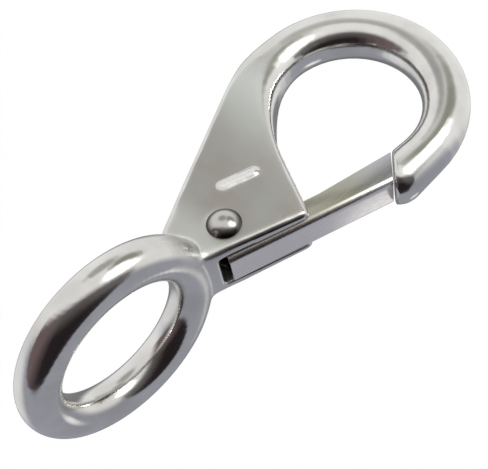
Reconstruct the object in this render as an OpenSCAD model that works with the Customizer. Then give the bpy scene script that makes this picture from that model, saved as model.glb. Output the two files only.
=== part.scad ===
// Snap hook with a fixed eye: cast body, folded sheet gate, rivet and gate spring.
// Origin at the centre of the eye, +Z up, the hook hanging below it.
// The bowl lies in the XZ plane, the gate on its -X side, and the eye in the YZ plane.

/* [Eye] */
// Clear diameter of the eye
eye_inner_d = 21.9; // [18:0.1:24]
// Diameter of the round bar of the eye
eye_bar_d = 6.7; // [5:0.1:8]

/* [Bowl] */
// Clear width of the bowl, from side to side
bowl_inner_d = 23.2; // [21:0.1:25]
// How much nearer than a true circle the bowl's bottom comes
bowl_flat = 0.3; // [0:0.05:0.8]
// Diameter of the round bar at the bottom of the bowl
bar_d = 8; // [7:0.1:8.5]
// How much thicker the bar is where it meets the plate, and thinner at the nose
bar_swell = 0.3; // [0:0.05:0.6]
// Height of the eye's centre above the bowl's centre
bowl_drop = 53.2; // [50:0.1:58]
// How far the bowl's centre lies behind the eye's centre, away from the gate
bowl_shift = 3.2; // [2:0.1:5]
// Radius of the inner corner between the bowl and the throat
shoulder_r = 12.9; // [12:0.1:13.5]
// Angle at which that corner eases into the throat's curve
shoulder_turn = 35; // [30:1:40]
// Depth below the eye's centre at which the nose starts to round off
nose_drop = 47.5; // [46.5:0.1:49]
// Diameter of the round end of the nose
nose_d = 7.9; // [7.2:0.1:8.4]

/* [Plate] */
// Lean of the straight spine from the vertical
spine_lean = 26.9; // [24:0.1:29]
// Lean of the body's face on the gate side
face_lean = 19.2; // [18:0.1:21]
// Distance of that face from the gate's pivot
face_rise = 4.5; // [4:0.1:5]
// Angle between the throat's straight part and the vertical
throat_turn = 65.3; // [63:0.1:68]
// Distance of that straight part from the bowl's centre
throat_rise = 14.2; // [13.8:0.1:14.6]
// Thickness of the plate at the neck
neck_t = 11.2; // [9.5:0.1:12]
// Depth of the neck below the eye's centre
neck_drop = 16.2; // [15.5:0.1:17]
// Radius on the plate's long edges
edge_r = 1.1; // [0.5:0.1:1.6]
// Radius on the corner where the throat meets the gate's face
corner_r = 1.2; // [0.8:0.1:2]

/* [Mark] */
// Length of the raised bar cast on the front face
mark_l = 6.6; // [4:0.1:8]
// Width of the raised bar
mark_w = 1.2; // [1:0.1:2.5]
// Height of the raised bar above the face
mark_h = 0.4; // [0.2:0.05:0.6]
// Distance of the bar's middle from the eye's centre, away from the gate
mark_side = 3.9; // [3:0.1:5]
// Depth of the bar's middle below the eye's centre
mark_drop = 29.3; // [28:0.1:31]
// Lean of the bar from the vertical
mark_lean = 18; // [10:1:25]

/* [Gate] */
// Depth of the gate's pivot below the eye's centre
pivot_drop = 22.2; // [21.5:0.1:23]
// How far the pivot lies from the eye's centre, towards the gate
pivot_side = 0.45; // [0:0.05:1]
// Lean of the closed gate from the vertical
gate_lean = 18.2; // [17.5:0.1:20]
// Width over the gate's ears at the pivot
gate_w = 6.4; // [6:0.1:6.6]
// Angle at which each side of the gate closes in towards the tip
gate_taper = 0.5; // [0:0.1:1.5]
// Thickness of the gate's sheet
sheet_t = 0.9; // [0.7:0.05:1.1]
// Outer radius of the sheet's bends
bend_r = 1.1; // [0.8:0.1:1.6]
// Distance of the web's outer face from the pivot
gate_rise = 5.05; // [4.4:0.05:5.2]
// Length of the web from the pivot to its tip
gate_reach = 25.7; // [24.8:0.1:26]
// How far the web reaches past the pivot at its inner end
gate_tail = 1.8; // [1:0.1:2]
// Slant of the tip's end from square
tip_slant = 26; // [20:0.5:32]
// Radius of the ears around the pivot
ear_r = 2.7; // [2.4:0.05:2.9]
// Depth of the gate's flanges at their waist
waist_depth = 3.95; // [3:0.05:4.2]
// Distance from the pivot to the start of the waist
waist_start = 9; // [8:0.5:11]
// Distance from the pivot to the end of the waist
waist_end = 15; // [12:0.5:20]
// Depth of the flanges at the gate's tip
tip_depth = 5.15; // [4.4:0.05:5.3]
// Angle that the gate swings open, until its flanges lie along the slot's slanted floor
swing = 30; // [20:1:34]

/* [Rivet] */
// Diameter of the rivet's shank
rivet_d = 3; // [2.5:0.1:3.4]
// Diameter of the domed head
head_d = 5.5; // [5:0.1:6]
// Height of the domed head
head_h = 1.5; // [1:0.1:2]
// Diameter of the peened end
peen_d = 5; // [4.4:0.1:5.6]
// Height of the peened end
peen_h = 0.9; // [0.6:0.1:1.4]

/* [Spring] */
// Wire diameter of the gate's spring
wire_d = 0.6; // [0.4:0.05:0.7]
// Number of turns round the rivet
coil_turns = 3; // [2:1:4]

/* [Fits] */
// Clearance between the gate's flanges and each cheek of the slot
slot_gap = 0.3; // [0.15:0.05:0.35]
// Clearance round the ears in the bottom of the slot
ear_gap = 0.4; // [0.3:0.05:0.6]
// Running clearance, on the radius, of the gate on the rivet
pin_gap = 0.05; // [0.03:0.01:0.1]
// Gap between the gate's tip and the nose
tip_gap = 0.25; // [0.2:0.05:0.4]
// Gap between the coil and the rivet
coil_gap = 0.2; // [0.15:0.05:0.3]
// Depth of the flat spots that the rivet's ends sit on
spot_depth = 0.15; // [0.05:0.05:0.3]

/* [Hidden] */
$fn = 96;

mark_c = [mark_side, -mark_drop];
// Plane geometry is drawn as [x, z]: x away from the gate, z up.
inner_r = bowl_inner_d / 2;
outer_r = inner_r - bowl_flat + bar_d;
function inner_reach(a) = inner_r - bowl_flat * pow(sin(a), 2);
function bar_half(a) = (outer_r + bar_swell * cos(a) - inner_reach(a)) / 2;
root_r = bar_half(0);
nose_r = nose_d / 2;
eye_r = (eye_inner_d + eye_bar_d) / 2;
bowl_c = [bowl_shift, -bowl_drop];
outer_c = bowl_c + [bar_swell, 0];
shoulder_c = bowl_c + [inner_r - shoulder_r, 0];
pivot = [-pivot_side, -pivot_drop];
nose_c = [bowl_shift - inner_r - bar_half(180), -nose_drop];
slot_w = gate_w + 2 * slot_gap;
slot_r = ear_r + ear_gap;
spot_gap = 0.4;
touch_gap = 0.02;
// Lengths well past the body, for cuts that run right through it
through_w = 20;
cut_top = 12;
cut_foot = -9;
cut_back = 20;

// The plate's two faces taper from the neck down to the bowl's bar
taper = (neck_t / 2 - root_r) / (bowl_drop - neck_drop);
function plate_half(z) = root_r + max(0, z + bowl_drop) * taper;
seat_y = plate_half(-pivot_drop) - spot_depth;

function dir(a) = [cos(a), sin(a)];
function unit(v) = v / norm(v);
function mix(a, b, t) = a + (b - a) * t;
function meet(p, d, q, e) = p + d * cross(q - p, e) / cross(d, e);
function bezier(a, b, c, t) = mix(mix(a, b, t), mix(b, c, t), t);

// Outer rail of the plate: round the bowl, then up the straight spine
spine_start = outer_c + outer_r * dir(spine_lean);
spine_dir = dir(spine_lean + 90);
outer_turn = outer_r * spine_lean * PI / 180;
function outer_at(s) = s < outer_turn
    ? outer_c + outer_r * dir(s / outer_turn * spine_lean)
    : spine_start + (s - outer_turn) * spine_dir;
function outer_in(s) = -dir(min(1, s / outer_turn) * spine_lean);

// Inner rail: round the corner, eased into the throat, then straight along it
ease_turn = throat_turn - shoulder_turn;
ease_r = (throat_rise - (inner_r - shoulder_r) * cos(throat_turn) - shoulder_r * cos(ease_turn))
    / (1 - cos(ease_turn));
ease_c = shoulder_c + (shoulder_r - ease_r) * dir(shoulder_turn);
shoulder_len = shoulder_r * shoulder_turn * PI / 180;
ease_len = ease_r * ease_turn * PI / 180;
function inner_turn(s) = s < shoulder_len
    ? s / shoulder_len * shoulder_turn
    : shoulder_turn + min(1, (s - shoulder_len) / ease_len) * ease_turn;
throat_start = ease_c + ease_r * dir(throat_turn);
throat_dir = dir(throat_turn + 90);
function inner_at(s) = s < shoulder_len
    ? shoulder_c + shoulder_r * dir(inner_turn(s))
    : ease_c + ease_r * dir(inner_turn(s)) + max(0, s - shoulder_len - ease_len) * throat_dir;
function inner_in(s) = dir(inner_turn(s));

// Where the throat, the gate's face and the neck meet
face_dir = dir(90 - face_lean);
face_in = dir(-face_lean);
face_start = pivot - face_rise * face_in;
corner = meet(throat_start, throat_dir, face_start, face_dir);
throat_end = corner - corner_r * throat_dir;
face_end = corner + corner_r * face_dir;
throat_len = shoulder_len + ease_len + norm(throat_end - throat_start);
spine_at_neck = meet(spine_start, spine_dir, [0, -neck_drop], [1, 0]);
face_at_neck = meet(face_start, face_dir, [0, -neck_drop], [1, 0]);
spine_len = outer_turn + norm(spine_at_neck - spine_start);
spine_mid = outer_turn + norm(meet(spine_start, spine_dir, corner, [1, 0]) - spine_start);

// Stations of the loft: [outer point, its inward normal, inner point, its inward normal,
// outer edge radius, inner edge radius, half thickness at the outer and inner points]
round_share = 0.97;
function round_station(p, n, half) =
    [p - n * half, n, p + n * half, -n, round_share * half, round_share * half, half, half];
nose_stations = [for (a = [80, 60, 40, 20, 0])
    round_station(nose_c + [0, nose_r * sin(a)], [1, 0], nose_r * cos(a))];
bowl_stations = [for (a = [180:7.5:352.5])
    round_station(bowl_c + (inner_reach(a) + bar_half(a)) * dir(a), -dir(a), bar_half(a))];

plate_steps = 18;
flat_share = 0.62;
function eased(t) = t * t * (3 - 2 * t);
function edge_at(f) = mix(round_share * root_r, edge_r, eased(min(1, f / flat_share)));
function plate_station(o, on, i, in, r) = [o, on, i, in, r, r, plate_half(o[1]), plate_half(i[1])];
throat_stations = [for (k = [0:plate_steps]) let (f = k / plate_steps)
    plate_station(outer_at(f * spine_mid), outer_in(f * spine_mid),
        inner_at(f * throat_len), inner_in(f * throat_len), edge_at(f))];
corner_step = 0.3;
corner_stations = [for (k = [1:3]) let (f = k / 4, s = spine_mid + k * corner_step)
    plate_station(outer_at(s), outer_in(s), bezier(throat_end, corner, face_end, f),
        unit(mix(inner_in(throat_len), face_in, f)), edge_r)];
face_steps = 6;
face_stations = [for (k = [0:face_steps]) let (f = k / face_steps)
    plate_station(mix(outer_at(spine_mid + 4 * corner_step), spine_at_neck, f), -dir(spine_lean),
        mix(face_end, face_at_neck, f), face_in, edge_r)];

// The neck swells in thickness and closes in, into the bar of the eye
root_z = -eye_r + 0.25 * eye_bar_d;
root_half = 0.33 * eye_bar_d / 2;
neck_flare_r = 4.2;
root_edge_r = 0.9;
knee_drop = 0.6;
function flare(z) = neck_flare_r - sqrt(max(0, pow(neck_flare_r, 2) - pow(z + neck_drop, 2)));
neck_steps = 6;
neck_stations = [for (k = [1:neck_steps]) let (
        f = k / neck_steps,
        spine_knee = meet(spine_at_neck, spine_dir, [0, root_z - knee_drop], [1, 0]),
        face_knee = meet(face_at_neck, face_dir, [0, root_z - knee_drop], [1, 0]),
        o = bezier(spine_at_neck, spine_knee, [root_half, root_z], f),
        i = bezier(face_at_neck, face_knee, [-root_half, root_z], f),
        r = mix(edge_r, root_edge_r, f))
    [o, unit(mix(-dir(spine_lean), [-1, 0], f)), i, unit(mix(face_in, [1, 0], f)), r, r,
        plate_half(o[1]) + flare(o[1]), plate_half(i[1]) + flare(i[1])]];

stations = concat(nose_stations, bowl_stations, throat_stations, corner_stations,
    face_stations, neck_stations);
edge_steps = 7;
edge_angles = [for (k = [0:edge_steps]) 90 * k / edge_steps];
function edge_point(p, n, r, half, a, face) =
    let (q = p + n * r * (1 - cos(a)))
    [q[0], face * (half - r * (1 - sin(a))), q[1]];
function reversed(v) = [for (k = [len(v) - 1:-1:0]) v[k]];
function section(s) = concat(
    [for (a = edge_angles) edge_point(s[0], s[1], s[4], s[6], a, -1)],
    [for (a = reversed(edge_angles)) edge_point(s[2], s[3], s[5], s[7], a, -1)],
    [for (a = edge_angles) edge_point(s[2], s[3], s[5], s[7], a, 1)],
    [for (a = reversed(edge_angles)) edge_point(s[0], s[1], s[4], s[6], a, 1)]);

// A skin over equal rings of points, closed by a cap at each end
module skin(rings) {
    n = len(rings[0]);
    last = len(rings) - 1;
    sides = [for (j = [0:last - 1], k = [0:n - 1]) let (m = (k + 1) % n, a = j * n, b = a + n)
        each [[a + k, b + m, b + k], [a + k, a + m, b + m]]];
    caps = [[for (k = [n - 1:-1:0]) k], [for (k = [0:n - 1]) last * n + k]];
    polyhedron([for (r = rings) each r], concat(sides, caps), convexity = 8);
}

// Plane drawings are laid out in [x, z] and given their width along y
module in_plane(width) {
    rotate([90, 0, 0]) linear_extrude(width, center = true) children();
}
// Drawings in the gate's own frame: u from the pivot to the tip, n outwards through the web
module gate_frame(lean) {
    translate(pivot) rotate(-90 - lean) mirror([0, 1]) children();
}
// Solids in the gate's own frame: u, n, and the width across the gate
module gate_space() {
    rotate([90, 0, 0]) translate([pivot[0], pivot[1], 0])
        rotate(-90 - gate_lean) mirror([0, 1, 0]) children();
}

module wedge(extra) {
    top = plate_half(0) + extra;
    foot = root_r + extra;
    rotate([90, 0, 90]) linear_extrude(100, center = true)
        polygon([[-top, 0], [-foot, -bowl_drop], [foot, -bowl_drop], [top, 0]]);
}

module slot_profile() {
    translate(pivot) circle(slot_r);
    gate_frame(gate_lean) translate([-slot_r, 0]) square([gate_reach + slot_r, cut_top]);
    gate_frame(gate_lean - swing) translate([0, -slot_r]) square([gate_reach, slot_r + cut_top]);
}

module nose_cut_profile() {
    shift = gate_reach + tip_gap / cos(tip_slant);
    slope = tan(tip_slant);
    gate_frame(gate_lean) polygon([
        [cut_back, cut_top], [shift + (gate_rise - cut_top) * slope, cut_top],
        [shift + (gate_rise - cut_foot) * slope, cut_foot], [cut_back, cut_foot]]);
}

module mark_profile() {
    half = (mark_l - mark_w) / 2;
    translate(mark_c) rotate(-90 - mark_lean) {
        square([2 * half, mark_w], center = true);
        for (s = [-1, 1]) translate([s * half, 0]) circle(mark_w / 2);
    }
}

module hook_body() {
    color("#b9bab8") difference() {
        union() {
            skin([for (s = stations) section(s)]);
            rotate([0, 90, 0]) rotate_extrude() translate([eye_r, 0]) circle(eye_bar_d / 2);
            intersection() {
                wedge(mark_h);
                rotate([90, 0, 0]) linear_extrude(through_w) mark_profile();
            }
        }
        in_plane(slot_w) slot_profile();
        in_plane(through_w) nose_cut_profile();
        in_plane(through_w) translate(pivot) circle(rivet_d / 2);
        for (s = [-1, 1]) translate([pivot[0], s * (seat_y + through_w / 2), pivot[1]])
            rotate([90, 0, 0]) cylinder(d = head_d + spot_gap, h = through_w, center = true);
    }
}

// One side of the block under the web, with its top edge rounded, leaning in towards the tip
module block_side(half, top, r) {
    rotate([0, gate_taper, 0]) {
        for (step = [[half, top - r], [half - r, top]])
            translate([-through_w, -through_w, -through_w])
                cube([3 * through_w, through_w + step[1], through_w + step[0]]);
        translate([-through_w, top - r, half - r]) rotate([0, 90, 0])
            cylinder(r = r, h = 3 * through_w);
    }
}

module tapered_block(half, top, r) {
    intersection() {
        block_side(half, top, r);
        mirror([0, 0, 1]) block_side(half, top, r);
    }
}

module flange_profile() {
    waist = [waist_start, gate_rise - waist_depth];
    ear_turn = atan2(waist[1], waist[0]) - acos(ear_r / norm(waist));
    polygon([[-gate_tail, 0], [-gate_tail, gate_rise], [gate_reach, gate_rise],
        [gate_reach + tip_depth * tan(tip_slant), gate_rise - tip_depth],
        [waist_end, waist[1]], waist, 0.9 * ear_r * dir(ear_turn)]);
}

module gate() {
    color("#a3a2a8") difference() {
        intersection() {
            union() {
                in_plane(through_w) gate_frame(gate_lean) flange_profile();
                in_plane(through_w) translate(pivot) circle(ear_r);
            }
            gate_space() difference() {
                tapered_block(gate_w / 2, gate_rise, bend_r);
                tapered_block(gate_w / 2 - sheet_t, gate_rise - sheet_t, bend_r - sheet_t);
            }
        }
        in_plane(through_w) translate(pivot) circle(rivet_d / 2 + pin_gap);
    }
}

module dome(d, h) {
    r = (d * d / 4 + h * h) / (2 * h);
    intersection() {
        translate([0, 0, h - r]) sphere(r);
        cylinder(d = d + 1, h = h + 1);
    }
}

module gate_rivet() {
    color("#c9c8c4") translate([pivot[0], 0, pivot[1]]) {
        rotate([90, 0, 0]) cylinder(d = rivet_d, h = 2 * seat_y, center = true);
        translate([0, -seat_y, 0]) rotate([90, 0, 0]) dome(head_d, head_h);
        translate([0, seat_y, 0]) rotate([-90, 0, 0]) dome(peen_d, peen_h);
    }
}

// Torsion spring: one leg on the slot's floor, turns round the rivet, one leg under the web
wire_r = wire_d / 2;
coil_r = rivet_d / 2 + coil_gap + wire_r;
coil_sweep = 180 - swing + 360 * coil_turns;
coil_pitch = 1.1 * wire_d;
coil_len = coil_pitch * coil_sweep / 360;
coil_steps = ceil(coil_sweep / 22.5);
leg_len = 9;
function turned(p, a) = [p[0] * cos(a) - p[1] * sin(a), p[0] * sin(a) + p[1] * cos(a)];
floor_leg = turned([leg_len, wire_r + touch_gap - slot_r], -swing);
web_leg = [leg_len, gate_rise - sheet_t - wire_r - touch_gap];
spring_path = concat(
    [[floor_leg[0], floor_leg[1], -coil_len / 2]],
    [for (k = [0:coil_steps]) let (a = -90 - swing - coil_sweep * k / coil_steps)
        [coil_r * cos(a), coil_r * sin(a), coil_len * (k / coil_steps - 0.5)]],
    [[web_leg[0], web_leg[1], coil_len / 2]]);
function wire_ring(path, k) = let (
        a = path[max(0, k - 1)],
        b = path[min(len(path) - 1, k + 1)],
        t = unit(b - a),
        across = unit(cross([0, 0, 1], t)),
        up = cross(t, across))
    [for (j = [0:7]) path[k] + wire_r * (across * cos(45 * j) - up * sin(45 * j))];

module gate_spring() {
    color("#8e8f92") gate_space()
        skin([for (k = [0:len(spring_path) - 1]) wire_ring(spring_path, k)]);
}

hook_body();
gate();
gate_rivet();
gate_spring();
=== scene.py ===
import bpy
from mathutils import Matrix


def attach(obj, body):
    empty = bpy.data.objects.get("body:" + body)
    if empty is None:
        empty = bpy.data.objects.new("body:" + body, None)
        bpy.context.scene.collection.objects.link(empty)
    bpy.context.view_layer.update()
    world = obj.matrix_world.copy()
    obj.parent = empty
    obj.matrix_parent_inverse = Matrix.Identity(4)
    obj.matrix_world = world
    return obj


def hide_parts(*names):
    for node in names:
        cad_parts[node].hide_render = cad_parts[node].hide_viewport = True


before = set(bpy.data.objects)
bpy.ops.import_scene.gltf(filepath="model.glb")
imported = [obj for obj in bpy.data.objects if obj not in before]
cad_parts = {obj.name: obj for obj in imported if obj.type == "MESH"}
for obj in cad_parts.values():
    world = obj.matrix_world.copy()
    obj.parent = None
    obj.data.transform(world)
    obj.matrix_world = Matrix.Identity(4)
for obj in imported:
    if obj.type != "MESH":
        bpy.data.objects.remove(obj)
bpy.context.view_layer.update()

import math

import bpy
from mathutils import Matrix, Vector

bl_info = {
    "name": "Fixed-Eye Snap Hook",
    "version": (1, 0, 0),
    "blender": (4, 5, 0),
    "location": "View3D > Sidebar > Snap Hook",
    "description": "Dresses a cast snap hook with its sheet gate, rivet and gate spring",
    "category": "Object",
}

MM = 0.001

# The gate's own frame: the rivet's middle, then along the web, out through it and across it
PIVOT = Vector((-0.45, 0, -22.2)) * MM
GATE_LEAN = math.radians(18.2)
ALONG = Vector((-math.sin(GATE_LEAN), 0, -math.cos(GATE_LEAN)))
OUTWARD = Vector((-math.cos(GATE_LEAN), 0, math.sin(GATE_LEAN)))
ACROSS = Vector((0, -1, 0))

# The eye's radius to the middle of its bar, in millimetres, and the bowl's middle
EYE_RADIUS = 14.3
BOWL_MIDDLE = Vector((3.2, 0, -53.2)) * MM

# The plate's half thickness at the eye's height, and how fast it thins below that
PLATE_HALF = 6.3 * MM
PLATE_TAPER = 0.04324

# The spring's turns, its pitch as a share of its wire, and how far its legs stand to each
# side of the gate's middle, in millimetres
SPRING_TURNS = 3.4
SPRING_PITCH = 1.1
LEG_SIDE = 1.1

# The camera's own axes and its place, in the hook's frame
CAMERA_RIGHT = Vector((-0.69311, 0.12738, -0.70949))
CAMERA_UP = Vector((0.55745, -0.52930, -0.63961))
CAMERA_BACK = Vector((-0.45700, -0.83882, 0.29586))
CAMERA_PLACE = Vector((-77.38, -139.83, 24.60)) * MM

# The floor's size, the gap between it and the tent, and how much of what the camera and
# the metal see of it is plain white
FLOOR_SIZE = 20
FLOOR_GAP = 10 * MM
FLOOR_WHITE = 0.92

# The light tent round the hook, which only the metal sees. The dark studio shows through
# its open front, and the patches hang on its wall: each has its direction by the camera's
# axes, the angles at which it starts to fade and has gone, its colour and its strength.
TENT_MIDDLE = Vector((-1, 0, -30)) * MM
TENT_RADIUS = 0.262
TENT_FRONT = (-0.10, -0.16, 1.0)
TENT_COLOURS = {
    "cloth_low": "#a7a9b4", "cloth_high": "#ffffff",
    "studio_low": "#282224", "studio_high": "#6f6a6b",
    "studio_left": "#77676a", "studio_right": "#6c6a68",
}
TENT_PATCHES = (
    ((-0.85, -0.31, -0.42), 12, 38, "#f2f2f4", 1.0),
    ((0.00, 0.00, -1.00), 22, 44, "#85868a", 1.0),
    ((-0.28, 0.90, 0.34), 6, 22, "#b4b4b2", 1.0),
    ((0.33, 0.84, 0.43), 9, 24, "#a2a49a", 1.0),
    ((0.48, 0.54, 0.69), 9, 23, "#ffffff", 2.2),
    ((0.63, -0.53, -0.57), 3, 11, "#ffffff", 1.1),
)


# ---------------------------------------------------------------- helpers

def linear(hex_colour):
    """The linear RGBA of an sRGB hex colour such as '#b9bab8'."""
    parts = [int(hex_colour[i:i + 2], 16) / 255 for i in (1, 3, 5)]
    return tuple(
        c / 12.92 if c <= 0.04045 else ((c + 0.055) / 1.055) ** 2.4 for c in parts) + (1.0,)


def add_node(tree, kind, inputs=None, **settings):
    """Adds a node with its settings. An input takes a value, or a node or socket to link from."""
    new = tree.nodes.new(kind)
    for name, value in settings.items():
        setattr(new, name, value)
    for key, value in (inputs or {}).items():
        if isinstance(value, bpy.types.Node):
            value = next(socket for socket in value.outputs if socket.enabled)
        if isinstance(value, bpy.types.NodeSocket):
            tree.links.new(value, new.inputs[key])
        else:
            new.inputs[key].default_value = value
    return new


def empty_material(name):
    """A new material with nothing in it but its output."""
    material = bpy.data.materials.new(name)
    material.use_nodes = True
    tree = material.node_tree
    tree.nodes.clear()
    return material, tree, add_node(tree, "ShaderNodeOutputMaterial")


def only(obj):
    """Selects one object and nothing else."""
    bpy.ops.object.select_all(action="DESELECT")
    obj.select_set(True)
    bpy.context.view_layer.objects.active = obj


def merged_copy(node, name):
    """A new piece from a copy of a CAD node, its loose triangles merged into one skin."""
    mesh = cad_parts[node].data.copy()
    mesh.materials.clear()
    piece = bpy.data.objects.new(name, mesh)
    mesh.name = name
    bpy.context.scene.collection.objects.link(piece)
    only(piece)
    if mesh.has_custom_normals:
        bpy.ops.mesh.customdata_custom_splitnormals_clear()
    bpy.ops.object.mode_set(mode="EDIT")
    bpy.ops.mesh.select_all(action="SELECT")
    bpy.ops.mesh.remove_doubles(threshold=0.002 * MM)
    bpy.ops.object.mode_set(mode="OBJECT")
    return piece


def apply_modifier(piece, kind, **settings):
    """Puts a modifier on a piece and applies it."""
    only(piece)
    modifier = piece.modifiers.new(kind.title(), kind)
    for name, value in settings.items():
        setattr(modifier, name, value)
    bpy.ops.object.modifier_apply(modifier=modifier.name)


def finish_piece(piece, body, material, replaced=()):
    """Gives a piece its material, its place in its mesh, and the body that carries it."""
    only(piece)
    bpy.ops.object.transform_apply(location=True, rotation=True, scale=True)
    piece.data.materials.clear()
    piece.data.materials.append(material)
    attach(piece, body)
    if replaced:
        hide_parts(*replaced)
    return piece


def at_gate(u, n, w):
    """A point given along the gate, out through its web and across it, in millimetres."""
    return PIVOT + (ALONG * u + OUTWARD * n + ACROSS * w) * MM


# ---------------------------------------------------------------- materials

def cast_stainless(colours):
    """Cast stainless steel, tumbled and then buffed by hand.

    The round bars take a bright polish, with faint buffing streaks along them. The flat
    faces keep the fine satin of the tumbling, so they look greyer and softer, and a painted
    sheen lightens them towards the bowl and the eye. The raised bar on the front is worn
    bright by rubbing, and its top is lightened further as a painted highlight.
    """
    material, tree, output = empty_material("cast_stainless_polished")
    place = add_node(tree, "ShaderNodeTexCoord")
    facing = add_node(tree, "ShaderNodeSeparateXYZ", {0: place.outputs["Normal"]})
    point = add_node(tree, "ShaderNodeSeparateXYZ", {0: place.outputs["Object"]})
    x, y, z = (point.outputs[axis] for axis in "XYZ")
    side = add_node(tree, "ShaderNodeMath", {0: facing.outputs["Y"]}, operation="ABSOLUTE")
    depth = add_node(tree, "ShaderNodeMath", {0: y}, operation="ABSOLUTE")
    # How far a point stands off the plate's tapering face
    off_face = add_node(tree, "ShaderNodeMath", {0: z, 1: -PLATE_TAPER, 2: depth},
                        operation="MULTIPLY_ADD")

    # Where each finish and the painted sheen lie: a value, where each starts and where it is full
    share = {}
    for name, value, start, full in (
            ("below_eye", z, -13.0 * MM, -16.0 * MM),
            ("above_bowl", z, -52.0 * MM, -43.0 * MM),
            ("flat", side, 0.93, 0.99),
            ("raised", off_face, PLATE_HALF + 0.12 * MM, PLATE_HALF + 0.30 * MM),
            ("above_plate", z, -23.0 * MM, -17.0 * MM),
            ("below_hole", z, -9.5 * MM, -13.5 * MM),
            ("towards_bowl", z, -30.0 * MM, -47.0 * MM),
            ("towards_eye", z, -23.5 * MM, -17.5 * MM)):
        share[name] = add_node(tree, "ShaderNodeMapRange", {
            "Value": value, "From Min": start, "From Max": full}, interpolation_type="SMOOTHSTEP")
    # Next to the eye the painted sheen is laid on the face only in part
    share["part"] = 0.6
    for name, a, b in (
            ("plate", "below_eye", "above_bowl"),
            ("face", "flat", "plate"),
            ("rubbed_highlight", "face", "raised"),
            ("neck", "above_plate", "below_hole"),
            ("near_eye", "towards_eye", "part")):
        share[name] = add_node(tree, "ShaderNodeMath", {0: share[a], 1: share[b]},
                               operation="MULTIPLY")

    # Buffing streaks run along the bars, round the eye and round the bowl: 1 mm apart and
    # about 12 mm long, drawn coarser than the real ones so that they show
    bowl_x = add_node(tree, "ShaderNodeMath", {0: x, 1: -BOWL_MIDDLE.x}, operation="ADD")
    bowl_z = add_node(tree, "ShaderNodeMath", {0: z, 1: -BOWL_MIDDLE.z}, operation="ADD")
    streaks = []
    for out_a, out_b, across in ((y, z, x), (bowl_x, bowl_z, y)):
        turn = add_node(tree, "ShaderNodeMath", {0: out_a, 1: out_b}, operation="ARCTAN2")
        along = add_node(tree, "ShaderNodeMath", {0: turn, 1: 1.2 * MM}, operation="MULTIPLY")
        reach = add_node(tree, "ShaderNodeCombineXYZ", {0: out_a, 1: out_b})
        reach = add_node(tree, "ShaderNodeVectorMath", {0: reach}, operation="LENGTH")
        path = add_node(tree, "ShaderNodeCombineXYZ", {0: along, 1: reach, 2: across})
        streaks.append(add_node(tree, "ShaderNodeTexNoise", {
            "Vector": path, "Scale": 1000.0, "Detail": 2.0, "Roughness": 0.5}))
    streaks = add_node(tree, "ShaderNodeMix", {
        "Factor": share["below_eye"], "A": streaks[0], "B": streaks[1]}, data_type="FLOAT")
    # Clouding 6 mm across, where the polish is uneven
    clouds = add_node(tree, "ShaderNodeTexNoise", {
        "Vector": place.outputs["Object"], "Scale": 170.0, "Detail": 3.0, "Roughness": 0.5})
    share["cloud"] = add_node(tree, "ShaderNodeMapRange", {
        "Value": clouds, "From Min": 0.30, "From Max": 0.70}, interpolation_type="SMOOTHSTEP")
    # Tumbling grain, 0.3 mm, drawn coarser than the real one so that it shows
    grain = add_node(tree, "ShaderNodeTexNoise", {
        "Vector": place.outputs["Object"], "Scale": 3200.0, "Detail": 2.0, "Roughness": 0.6})

    # Each line lays one colour over another. The face is painted lighter towards the bowl
    # and towards the eye, as a painted sheen.
    coat = {name: linear(getattr(colours, name)) for name in (
        "polished", "polished_dull", "satin", "satin_dull", "satin_sheen", "rubbed_highlight")}
    for name, where, under, over in (
            ("bright", "cloud", "polished", "polished_dull"),
            ("grey", "cloud", "satin", "satin_dull"),
            ("grey", "towards_bowl", "grey", "satin_sheen"),
            ("grey", "near_eye", "grey", "satin_sheen"),
            ("colour", "face", "bright", "grey"),
            # The raised bar's worn top is lightened further, as a painted highlight
            ("colour", "rubbed_highlight", "colour", "rubbed_highlight")):
        coat[name] = add_node(tree, "ShaderNodeMix", {
            "Factor": share[where], "A": coat[under], "B": coat[over]}, data_type="RGBA")

    # The neck is hard to reach with the buff, so it stays duller than the bars
    rough = add_node(tree, "ShaderNodeMapRange", {
        "Value": streaks, "From Min": 0.3, "From Max": 0.7, "To Min": 0.09, "To Max": 0.2})
    for where, roughness in (("neck", 0.34), ("face", 0.46)):
        rough = add_node(tree, "ShaderNodeMix", {
            "Factor": share[where], "A": rough, "B": roughness}, data_type="FLOAT")
    waves = add_node(tree, "ShaderNodeBump", {
        "Height": streaks, "Strength": 0.5, "Distance": 0.03 * MM})
    skin = add_node(tree, "ShaderNodeBump", {
        "Height": grain, "Strength": 0.12, "Distance": 0.02 * MM, "Normal": waves})
    shader = add_node(tree, "ShaderNodeBsdfPrincipled", {
        "Base Color": coat["colour"], "Metallic": 1.0, "Roughness": rough, "Normal": skin})
    tree.links.new(shader.outputs[0], output.inputs["Surface"])
    return material


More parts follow.
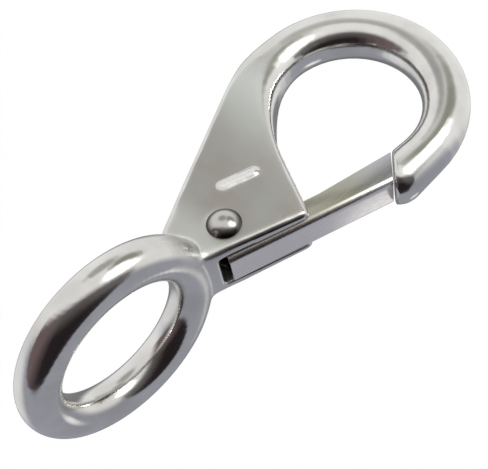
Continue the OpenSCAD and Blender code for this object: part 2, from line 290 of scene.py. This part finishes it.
def rolled_sheet(colours):
    """Rolled stainless sheet, folded and tumbled: soft grey with faint rolling lines."""
    material, tree, output = empty_material("rolled_stainless_sheet")
    place = add_node(tree, "ShaderNodeTexCoord")
    # Rolling lines, 0.3 mm apart. The scale is applied before the turn, so they run straight
    # down the hook, 18 degrees off the gate: 7 mm long on the flanges and 1 mm on the web
    lay = add_node(tree, "ShaderNodeMapping", {
        "Vector": place.outputs["Object"], "Rotation": (0, GATE_LEAN, 0),
        "Scale": (1.0, 1.0, 0.04)})
    lines = add_node(tree, "ShaderNodeTexNoise", {
        "Vector": lay, "Scale": 3500.0, "Detail": 2.0, "Roughness": 0.6})
    # Clouding 3 mm across
    clouds = add_node(tree, "ShaderNodeTexNoise", {
        "Vector": place.outputs["Object"], "Scale": 300.0, "Detail": 3.0})
    # The web and the flanges are one sheet, coloured apart by the way they face: the web is
    # painted light, and the flanges painted shade with an olive painted reflection that turns
    # bluer towards the tip
    facing = add_node(tree, "ShaderNodeSeparateXYZ", {0: place.outputs["Normal"]})
    side = add_node(tree, "ShaderNodeMath", {0: facing.outputs["Y"]}, operation="ABSOLUTE")
    point = add_node(tree, "ShaderNodeSeparateXYZ", {0: place.outputs["Object"]})
    share = {"cloud": clouds}
    for name, value, start, full in (
            ("towards_tip", point.outputs["Z"], -38.0 * MM, -47.0 * MM),
            ("flange_painted_shade", side, 0.75, 0.95)):
        share[name] = add_node(tree, "ShaderNodeMapRange", {
            "Value": value, "From Min": start, "From Max": full}, interpolation_type="SMOOTHSTEP")
    coat = {name: linear(getattr(colours, name)) for name in (
        "sheet", "sheet_dull", "flange_painted_shade", "flange_tip_painted_shade")}
    for name, where, under, over in (
            ("web", "cloud", "sheet", "sheet_dull"),
            ("flange_painted_shade", "towards_tip", "flange_painted_shade", "flange_tip_painted_shade"),
            ("colour", "flange_painted_shade", "web", "flange_painted_shade")):
        coat[name] = add_node(tree, "ShaderNodeMix", {
            "Factor": share[where], "A": coat[under], "B": coat[over]}, data_type="RGBA")
    rough = add_node(tree, "ShaderNodeMapRange", {
        "Value": lines, "From Min": 0.3, "From Max": 0.7, "To Min": 0.2, "To Max": 0.3})
    skin = add_node(tree, "ShaderNodeBump", {
        "Height": lines, "Strength": 0.05, "Distance": 0.01 * MM})
    shader = add_node(tree, "ShaderNodeBsdfPrincipled", {
        "Base Color": coat["colour"], "Metallic": 1.0, "Roughness": rough, "Normal": skin})
    tree.links.new(shader.outputs[0], output.inputs["Surface"])
    return material


def headed_rivet(colours):
    """Stainless rivet wire, cold headed: a bright dome with faint hammer facets."""
    material, tree, output = empty_material("cold_headed_stainless")
    place = add_node(tree, "ShaderNodeTexCoord")
    # Hammer facets 1.4 mm across
    dents = add_node(tree, "ShaderNodeTexVoronoi", {
        "Vector": place.outputs["Object"], "Scale": 700.0}, feature="SMOOTH_F1")
    rough = add_node(tree, "ShaderNodeMapRange", {
        "Value": dents, "From Max": 0.7, "To Min": 0.12, "To Max": 0.24})
    skin = add_node(tree, "ShaderNodeBump", {
        "Height": dents, "Strength": 0.55, "Distance": 0.08 * MM})
    # Painted shade: the rim of the head, where it turns away, is darker than its crown
    facing = add_node(tree, "ShaderNodeSeparateXYZ", {0: place.outputs["Normal"]})
    side = add_node(tree, "ShaderNodeMath", {0: facing.outputs["Y"]}, operation="ABSOLUTE")
    crown = add_node(tree, "ShaderNodeMapRange", {
        "Value": side, "From Min": 0.66, "From Max": 0.92}, interpolation_type="SMOOTHSTEP")
    colour = add_node(tree, "ShaderNodeMix", {
        "Factor": crown, "A": linear(colours.rim_painted_shade), "B": linear(colours.rivet)}, data_type="RGBA")
    shader = add_node(tree, "ShaderNodeBsdfPrincipled", {
        "Base Color": colour, "Metallic": 1.0, "Roughness": rough, "Normal": skin})
    tree.links.new(shader.outputs[0], output.inputs["Surface"])
    return material


def spring_wire(colours):
    """Hard-drawn stainless spring wire: grey, with the fine grain that drawing leaves."""
    material, tree, output = empty_material("drawn_spring_wire")
    place = add_node(tree, "ShaderNodeTexCoord")
    # Grain of 0.2 mm, drawn coarser than the real one so that it shows
    grain = add_node(tree, "ShaderNodeTexNoise", {
        "Vector": place.outputs["Object"], "Scale": 5000.0, "Detail": 1.0})
    rough = add_node(tree, "ShaderNodeMapRange", {"Value": grain, "To Min": 0.25, "To Max": 0.4})
    shader = add_node(tree, "ShaderNodeBsdfPrincipled", {
        "Base Color": linear(colours.wire), "Metallic": 1.0, "Roughness": rough})
    tree.links.new(shader.outputs[0], output.inputs["Surface"])
    return material


# ---------------------------------------------------------------- settings

class SnapHookSizes(bpy.types.PropertyGroup):
    """Sizes of what is added to the solids."""
    skin_grid: bpy.props.FloatProperty(
        name="Casting Grid", description="Size of the grid that the casting's skin is drawn on",
        default=0.28 * MM, unit="LENGTH")
    skin_passes: bpy.props.IntProperty(
        name="Casting Blend", description="Smoothing passes that blend the casting's corners",
        default=9, min=0, max=30)
    neck_passes: bpy.props.IntProperty(
        name="Neck Blend", description="Smoothing passes that fill the crease under the eye",
        default=44, min=0, max=200)
    sheet_edge: bpy.props.FloatProperty(
        name="Sheet Edge", description="Radius worn on the edges of the folded sheet",
        default=0.14 * MM, unit="LENGTH")
    wire: bpy.props.FloatProperty(
        name="Spring Wire", description="Diameter of the gate spring's wire",
        default=0.6 * MM, unit="LENGTH")
    coil: bpy.props.FloatProperty(
        name="Spring Coil", description="Diameter of the coil, to the middle of its wire",
        default=4.0 * MM, unit="LENGTH")


class SnapHookColours(bpy.types.PropertyGroup):
    """Colours of the metals, as sRGB hex values."""
    polished: bpy.props.StringProperty(
        name="Polished Casting", description="Colour of the polished bars", default="#dddcd8")
    polished_dull: bpy.props.StringProperty(
        name="Polished, Duller", description="Colour where the polish is uneven", default="#cfcdc9")
    satin: bpy.props.StringProperty(
        name="Satin Face", description="Colour of the flat faces", default="#b1b2ac")
    satin_dull: bpy.props.StringProperty(
        name="Satin, Duller", description="Colour of the darker clouds on the flat faces",
        default="#ada8a1")
    # A painted sheen: the flat faces are lighter next to the bowl and the eye
    satin_sheen: bpy.props.StringProperty(
        name="Satin, Painted Sheen", description="Colour of the flat faces next to the bowl and the eye, lighter as a painted sheen",
        default="#dcdfdb")
    # The raised bar's top: worn bright, and lightened further as a painted highlight
    rubbed_highlight: bpy.props.StringProperty(
        name="Raised Bar, Painted Highlight", description="Colour of the raised bar's top, worn bright and lightened as a painted highlight", default="#f1f1ee")
    # The web's colour is painted light, much lighter than the flanges of the same sheet
    sheet: bpy.props.StringProperty(
        name="Gate Sheet", description="Colour of the gate's web", default="#f2eeea")
    sheet_dull: bpy.props.StringProperty(
        name="Gate Sheet, Duller", description="Colour of the web's darker clouds",
        default="#e4e0dc")
    # The flanges' colours are painted shade, olive as a painted reflection and bluer near the tip
    flange_painted_shade: bpy.props.StringProperty(
        name="Gate Flange", description="Colour of the gate's flanges", default="#b3b1a2")
    flange_tip_painted_shade: bpy.props.StringProperty(
        name="Gate Flange Tip", description="Colour of the flanges near the tip", default="#b6b6bb")
    rivet: bpy.props.StringProperty(
        name="Rivet", description="Colour of the rivet", default="#c2c0bb")
    # Painted shade round the rim of the rivet's head
    rim_painted_shade: bpy.props.StringProperty(
        name="Rivet Rim", description="Colour of the painted shade round the rivet's rim",
        default="#565350")
    wire: bpy.props.StringProperty(
        name="Spring Wire", description="Colour of the gate's spring", default="#9a9a9c")


# ---------------------------------------------------------------- pieces

class MakeCasting(bpy.types.Operator):
    """Blend the cast body's corners and give it its polished and satin faces"""
    bl_idname = "snap_hook.make_casting"
    bl_label = "Make the Cast Body"

    def blend_neck(self, body, passes):
        """Fills the crease between the plate and the eye, as the cast fillet does."""
        group = body.vertex_groups.new(name="neck")
        for vertex in body.data.vertices:
            y, z = vertex.co.yz / MM
            if not -21 < z < -10:
                continue
            # The weight fades out over a millimetre or two at each edge of the neck
            past_hole = (math.hypot(y, z) - EYE_RADIUS) / 1.2
            above_plate = (z + 20.5) / 2.5
            beside_slot = abs(y) - 4.2
            within_eye = (10.5 - abs(y)) / 2
            weight = min(past_hole, above_plate, beside_slot, within_eye, 1)
            if weight > 0:
                group.add([vertex.index], weight, "REPLACE")
        apply_modifier(body, "SMOOTH", factor=0.5, iterations=passes, vertex_group="neck")
        body.vertex_groups.clear()

    def execute(self, context):
        sizes = context.scene.snap_hook_sizes
        body = merged_copy("hook_body", "cast_body")
        # The grid lies along the gate's slot, so that the slot's edges come out straight
        body.rotation_euler = (0, -GATE_LEAN, 0)
        bpy.ops.object.transform_apply(location=False, rotation=True, scale=False)
        apply_modifier(body, "REMESH", mode="VOXEL", voxel_size=sizes.skin_grid,
                       use_smooth_shade=True)
        apply_modifier(body, "SMOOTH", factor=0.5, iterations=sizes.skin_passes)
        body.rotation_euler = (0, GATE_LEAN, 0)
        bpy.ops.object.transform_apply(location=False, rotation=True, scale=False)
        self.blend_neck(body, sizes.neck_passes)
        only(body)
        bpy.ops.object.shade_smooth()
        finish_piece(body, "hook", cast_stainless(context.scene.snap_hook_colours),
                     ["hook_body"])
        return {"FINISHED"}


class MakeGate(bpy.types.Operator):
    """Give the folded sheet gate its worn edges and rolled finish"""
    bl_idname = "snap_hook.make_gate"
    bl_label = "Make the Gate"

    def execute(self, context):
        sizes = context.scene.snap_hook_sizes
        gate = merged_copy("gate", "folded_gate")
        bpy.ops.object.mode_set(mode="EDIT")
        bpy.ops.mesh.select_all(action="SELECT")
        bpy.ops.mesh.dissolve_limited(angle_limit=math.radians(0.5))
        bpy.ops.object.mode_set(mode="OBJECT")
        apply_modifier(gate, "BEVEL", width=sizes.sheet_edge, segments=2, limit_method="ANGLE",
                       angle_limit=math.radians(35), use_clamp_overlap=True)
        only(gate)
        bpy.ops.object.shade_smooth_by_angle(angle=math.radians(32))
        finish_piece(gate, "gate_arm", rolled_sheet(context.scene.snap_hook_colours),
                     ["gate"])
        return {"FINISHED"}


class FinishRivet(bpy.types.Operator):
    """Give the rivet its cold headed finish"""
    bl_idname = "snap_hook.finish_rivet"
    bl_label = "Finish the Rivet"

    def execute(self, context):
        rivet = merged_copy("gate_rivet", "domed_rivet")
        bpy.ops.object.shade_smooth_by_angle(angle=math.radians(35))
        finish_piece(rivet, "hook", headed_rivet(context.scene.snap_hook_colours),
                     ["gate_rivet"])
        return {"FINISHED"}


class MakeSpring(bpy.types.Operator):
    """Wind the gate's spring round the rivet, one leg under the web and one on the slot's floor"""
    bl_idname = "snap_hook.make_spring"
    bl_label = "Make the Gate Spring"

    def leg(self, start, end, radius, name):
        middle, way = (start + end) / 2, end - start
        bpy.ops.object.select_all(action="DESELECT")
        bpy.ops.mesh.primitive_cylinder_add(
            vertices=16, radius=radius, depth=way.length, location=middle,
            rotation=Vector((0, 0, 1)).rotation_difference(way).to_euler())
        leg = bpy.context.object
        leg.name = leg.data.name = name
        apply_modifier(leg, "BEVEL", width=radius * 0.4, segments=2, limit_method="ANGLE",
                       angle_limit=math.radians(50))
        return leg

    def execute(self, context):
        sizes = context.scene.snap_hook_sizes
        wire_r, coil_r = sizes.wire / 2, sizes.coil / 2
        pitch, turns = sizes.wire * SPRING_PITCH, SPRING_TURNS
        material = spring_wire(context.scene.snap_hook_colours)
        bpy.ops.object.select_all(action="DESELECT")
        bpy.ops.mesh.primitive_circle_add(
            vertices=12, radius=wire_r, fill_type="NGON",
            location=PIVOT - Vector((0, pitch * turns / 2, 0)))
        coil = bpy.context.object
        coil.name = coil.data.name = "spring_coil"
        bpy.ops.object.mode_set(mode="EDIT")
        bpy.ops.mesh.select_all(action="SELECT")
        bpy.ops.transform.translate(value=(coil_r, 0, 0))
        bpy.ops.object.mode_set(mode="OBJECT")
        apply_modifier(coil, "SCREW", axis="Y", angle=math.radians(360 * turns),
                       screw_offset=pitch * turns, steps=96, render_steps=96,
                       use_normal_calculate=True)
        reach = coil_r / MM
        web_leg = self.leg(at_gate(0, reach, LEG_SIDE), at_gate(9, 3.6, LEG_SIDE), wire_r,
                           "spring_web_leg")
        only(coil)
        web_leg.select_set(True)
        bpy.ops.object.join()
        bpy.ops.object.shade_smooth_by_angle(angle=math.radians(50))
        finish_piece(coil, "gate_arm", material, ["gate_spring"])
        floor = self.leg(at_gate(0.6, -reach + 0.1, -LEG_SIDE), at_gate(6.6, -6.0, -LEG_SIDE),
                         wire_r, "spring_floor_leg")
        bpy.ops.object.shade_smooth_by_angle(angle=math.radians(50))
        finish_piece(floor, "hook", material)
        return {"FINISHED"}


# ---------------------------------------------------------------- stage

def from_camera_axes(right, up, back):
    """A direction given by the camera's axes, in the object's frame."""
    return (CAMERA_RIGHT * right + CAMERA_UP * up + CAMERA_BACK * back).normalized()


def from_camera(right, up, back):
    """A point given by the camera's axes, in metres from the middle of the hook."""
    return TENT_MIDDLE + CAMERA_RIGHT * right + CAMERA_UP * up + CAMERA_BACK * back


class SetStage(bpy.types.Operator):
    """Set the floor, the soft light, the light tent and the camera"""
    bl_idname = "snap_hook.set_stage"
    bl_label = "Set the Stage"

    def floor(self):
        bpy.ops.object.select_all(action="DESELECT")
        bpy.ops.mesh.primitive_plane_add(
            size=FLOOR_SIZE, location=(0, 0, TENT_MIDDLE.z - TENT_RADIUS - FLOOR_GAP))
        floor = bpy.context.object
        floor.name = floor.data.name = "floor"
        material, tree, output = empty_material("pale_floor")
        path = add_node(tree, "ShaderNodeLightPath")
        seen = add_node(tree, "ShaderNodeMath", {
            0: path.outputs["Is Camera Ray"], 1: path.outputs["Is Glossy Ray"]},
            operation="MAXIMUM")
        # The rest of the share is matt, so that the floor keeps the hook's shadow
        share = add_node(tree, "ShaderNodeMath", {0: seen, 1: FLOOR_WHITE}, operation="MULTIPLY")
        matt = add_node(tree, "ShaderNodeBsdfDiffuse", {"Color": linear("#fafafa")})
        white = add_node(tree, "ShaderNodeEmission", {"Color": (1, 1, 1, 1), "Strength": 1.0})
        mix = add_node(tree, "ShaderNodeMixShader", {0: share, 1: matt, 2: white})
        tree.links.new(mix.outputs[0], output.inputs["Surface"])
        floor.data.materials.append(material)

    def tent(self):
        bpy.ops.object.select_all(action="DESELECT")
        bpy.ops.mesh.primitive_uv_sphere_add(
            segments=64, ring_count=32, radius=TENT_RADIUS, location=TENT_MIDDLE)
        tent = bpy.context.object
        tent.name = tent.data.name = "light_tent"
        material, tree, output = empty_material("light_tent_cloth")
        place = add_node(tree, "ShaderNodeTexCoord")
        way = add_node(tree, "ShaderNodeVectorMath", {0: place.outputs["Object"]},
                       operation="NORMALIZE")
        height, across, ahead = (
            add_node(tree, "ShaderNodeVectorMath", {0: way, 1: axis}, operation="DOT_PRODUCT")
            for axis in (CAMERA_UP, CAMERA_RIGHT, from_camera_axes(*TENT_FRONT)))
        # Where each colour lies: a value, where the colour starts and where it is full. The
        # front opens sharply round its own direction, and fades upwards into the cloth
        share = {}
        for name, value, start, full, kind in (
                ("upper", height, -0.25, 0.25, "SMOOTHSTEP"),
                ("ahead", ahead, 0.34, 0.44, "SMOOTHSTEP"),
                ("low", height, 0.36, 0.02, "SMOOTHSTEP"),
                ("studio_top", height, -0.45, 0.10, "LINEAR"),
                ("left", across, -0.30, -0.75, "LINEAR"),
                ("right", across, 0.15, 0.60, "LINEAR"),
                ("level", height, -0.35, -0.05, "SMOOTHSTEP")):
            share[name] = add_node(tree, "ShaderNodeMapRange", {
                "Value": value, "From Min": start, "From Max": full}, interpolation_type=kind)
        for name, a, b in (("front", "ahead", "low"), ("right", "right", "level")):
            share[name] = add_node(tree, "ShaderNodeMath", {0: share[a], 1: share[b]},
                                   operation="MULTIPLY")
        coat = {name: linear(colour) for name, colour in TENT_COLOURS.items()}
        for name, where, under, over in (
                ("light", "upper", "cloth_low", "cloth_high"),
                ("studio", "studio_top", "studio_low", "studio_high"),
                ("studio", "left", "studio", "studio_left"),
                ("studio", "right", "studio", "studio_right"),
                ("light", "front", "light", "studio")):
            coat[name] = add_node(tree, "ShaderNodeMix", {
                "Factor": share[where], "A": coat[under], "B": coat[over]}, data_type="RGBA")
        light = coat["light"]
        for direction, inner, outer, colour, strength in TENT_PATCHES:
            near = add_node(tree, "ShaderNodeVectorMath", {
                0: way, 1: from_camera_axes(*direction)}, operation="DOT_PRODUCT")
            inside = add_node(tree, "ShaderNodeMapRange", {
                "Value": near, "From Min": math.cos(math.radians(outer)),
                "From Max": math.cos(math.radians(inner))}, interpolation_type="SMOOTHSTEP")
            glow = tuple(c * strength for c in linear(colour)[:3]) + (1.0,)
            light = add_node(tree, "ShaderNodeMix", {
                "Factor": inside, "A": light, "B": glow}, data_type="RGBA")
        shine = add_node(tree, "ShaderNodeEmission", {"Color": light, "Strength": 1.0})
        tree.links.new(shine.outputs[0], output.inputs["Surface"])
        tent.data.materials.append(material)
        for kind in ("camera", "diffuse", "shadow", "transmission", "volume_scatter"):
            setattr(tent, "visible_" + kind, False)

    def light(self, name, place, size, power):
        target = Vector((0, 0, -0.03))
        bpy.ops.object.select_all(action="DESELECT")
        bpy.ops.object.light_add(
            type="AREA", location=place,
            rotation=(place - target).to_track_quat("Z", "Y").to_euler())
        lamp = bpy.context.object
        lamp.name = lamp.data.name = name
        lamp.data.size = size
        lamp.data.energy = power

    def world(self, context):
        world = bpy.data.worlds.new("studio")
        context.scene.world = world
        world.use_nodes = True
        tree = world.node_tree
        tree.nodes.clear()
        output = add_node(tree, "ShaderNodeOutputWorld")
        white = add_node(tree, "ShaderNodeBackground", {"Color": (1, 1, 1, 1), "Strength": 1.0})
        tree.links.new(white.outputs[0], output.inputs["Surface"])

    def camera(self, context):
        bpy.ops.object.select_all(action="DESELECT")
        bpy.ops.object.camera_add()
        camera = bpy.context.object
        axes = Matrix((CAMERA_RIGHT, CAMERA_UP, CAMERA_BACK)).transposed()
        camera.matrix_world = Matrix.Translation(CAMERA_PLACE) @ axes.to_4x4()
        camera.data.sensor_fit = "HORIZONTAL"
        camera.data.sensor_width = 36.0
        camera.data.lens = 81.0
        camera.data.clip_start = 0.01
        context.scene.camera = camera

    def execute(self, context):
        context.scene.view_settings.view_transform = "Standard"
        self.floor()
        self.world(context)
        self.tent()
        self.light("key_softbox", from_camera(right=0.14, up=0.11, back=0.14),
                   size=0.05, power=0.15)
        self.camera(context)
        return {"FINISHED"}


class SnapHookPanel(bpy.types.Panel):
    """Lists the steps in order"""
    bl_idname = "VIEW3D_PT_snap_hook"
    bl_label = "Snap Hook"
    bl_space_type = "VIEW_3D"
    bl_region_type = "UI"
    bl_category = "Snap Hook"

    def draw(self, context):
        layout = self.layout
        for group in (context.scene.snap_hook_sizes, context.scene.snap_hook_colours):
            for name in type(group).__annotations__:
                layout.prop(group, name)
        for step in STEPS:
            layout.operator(step.bl_idname)


STEPS = (MakeCasting, MakeGate, FinishRivet, MakeSpring, SetStage)
CLASSES = (SnapHookSizes, SnapHookColours) + STEPS + (SnapHookPanel,)


def register():
    for cls in CLASSES:
        bpy.utils.register_class(cls)
    bpy.types.Scene.snap_hook_sizes = bpy.props.PointerProperty(type=SnapHookSizes)
    bpy.types.Scene.snap_hook_colours = bpy.props.PointerProperty(type=SnapHookColours)


def unregister():
    del bpy.types.Scene.snap_hook_colours
    del bpy.types.Scene.snap_hook_sizes
    for cls in reversed(CLASSES):
        bpy.utils.unregister_class(cls)


def main():
    register()
    bpy.ops.snap_hook.make_casting()
    bpy.ops.snap_hook.make_gate()
    bpy.ops.snap_hook.finish_rivet()
    bpy.ops.snap_hook.make_spring()
    bpy.ops.snap_hook.set_stage()


if __name__ == "__main__":
    main()
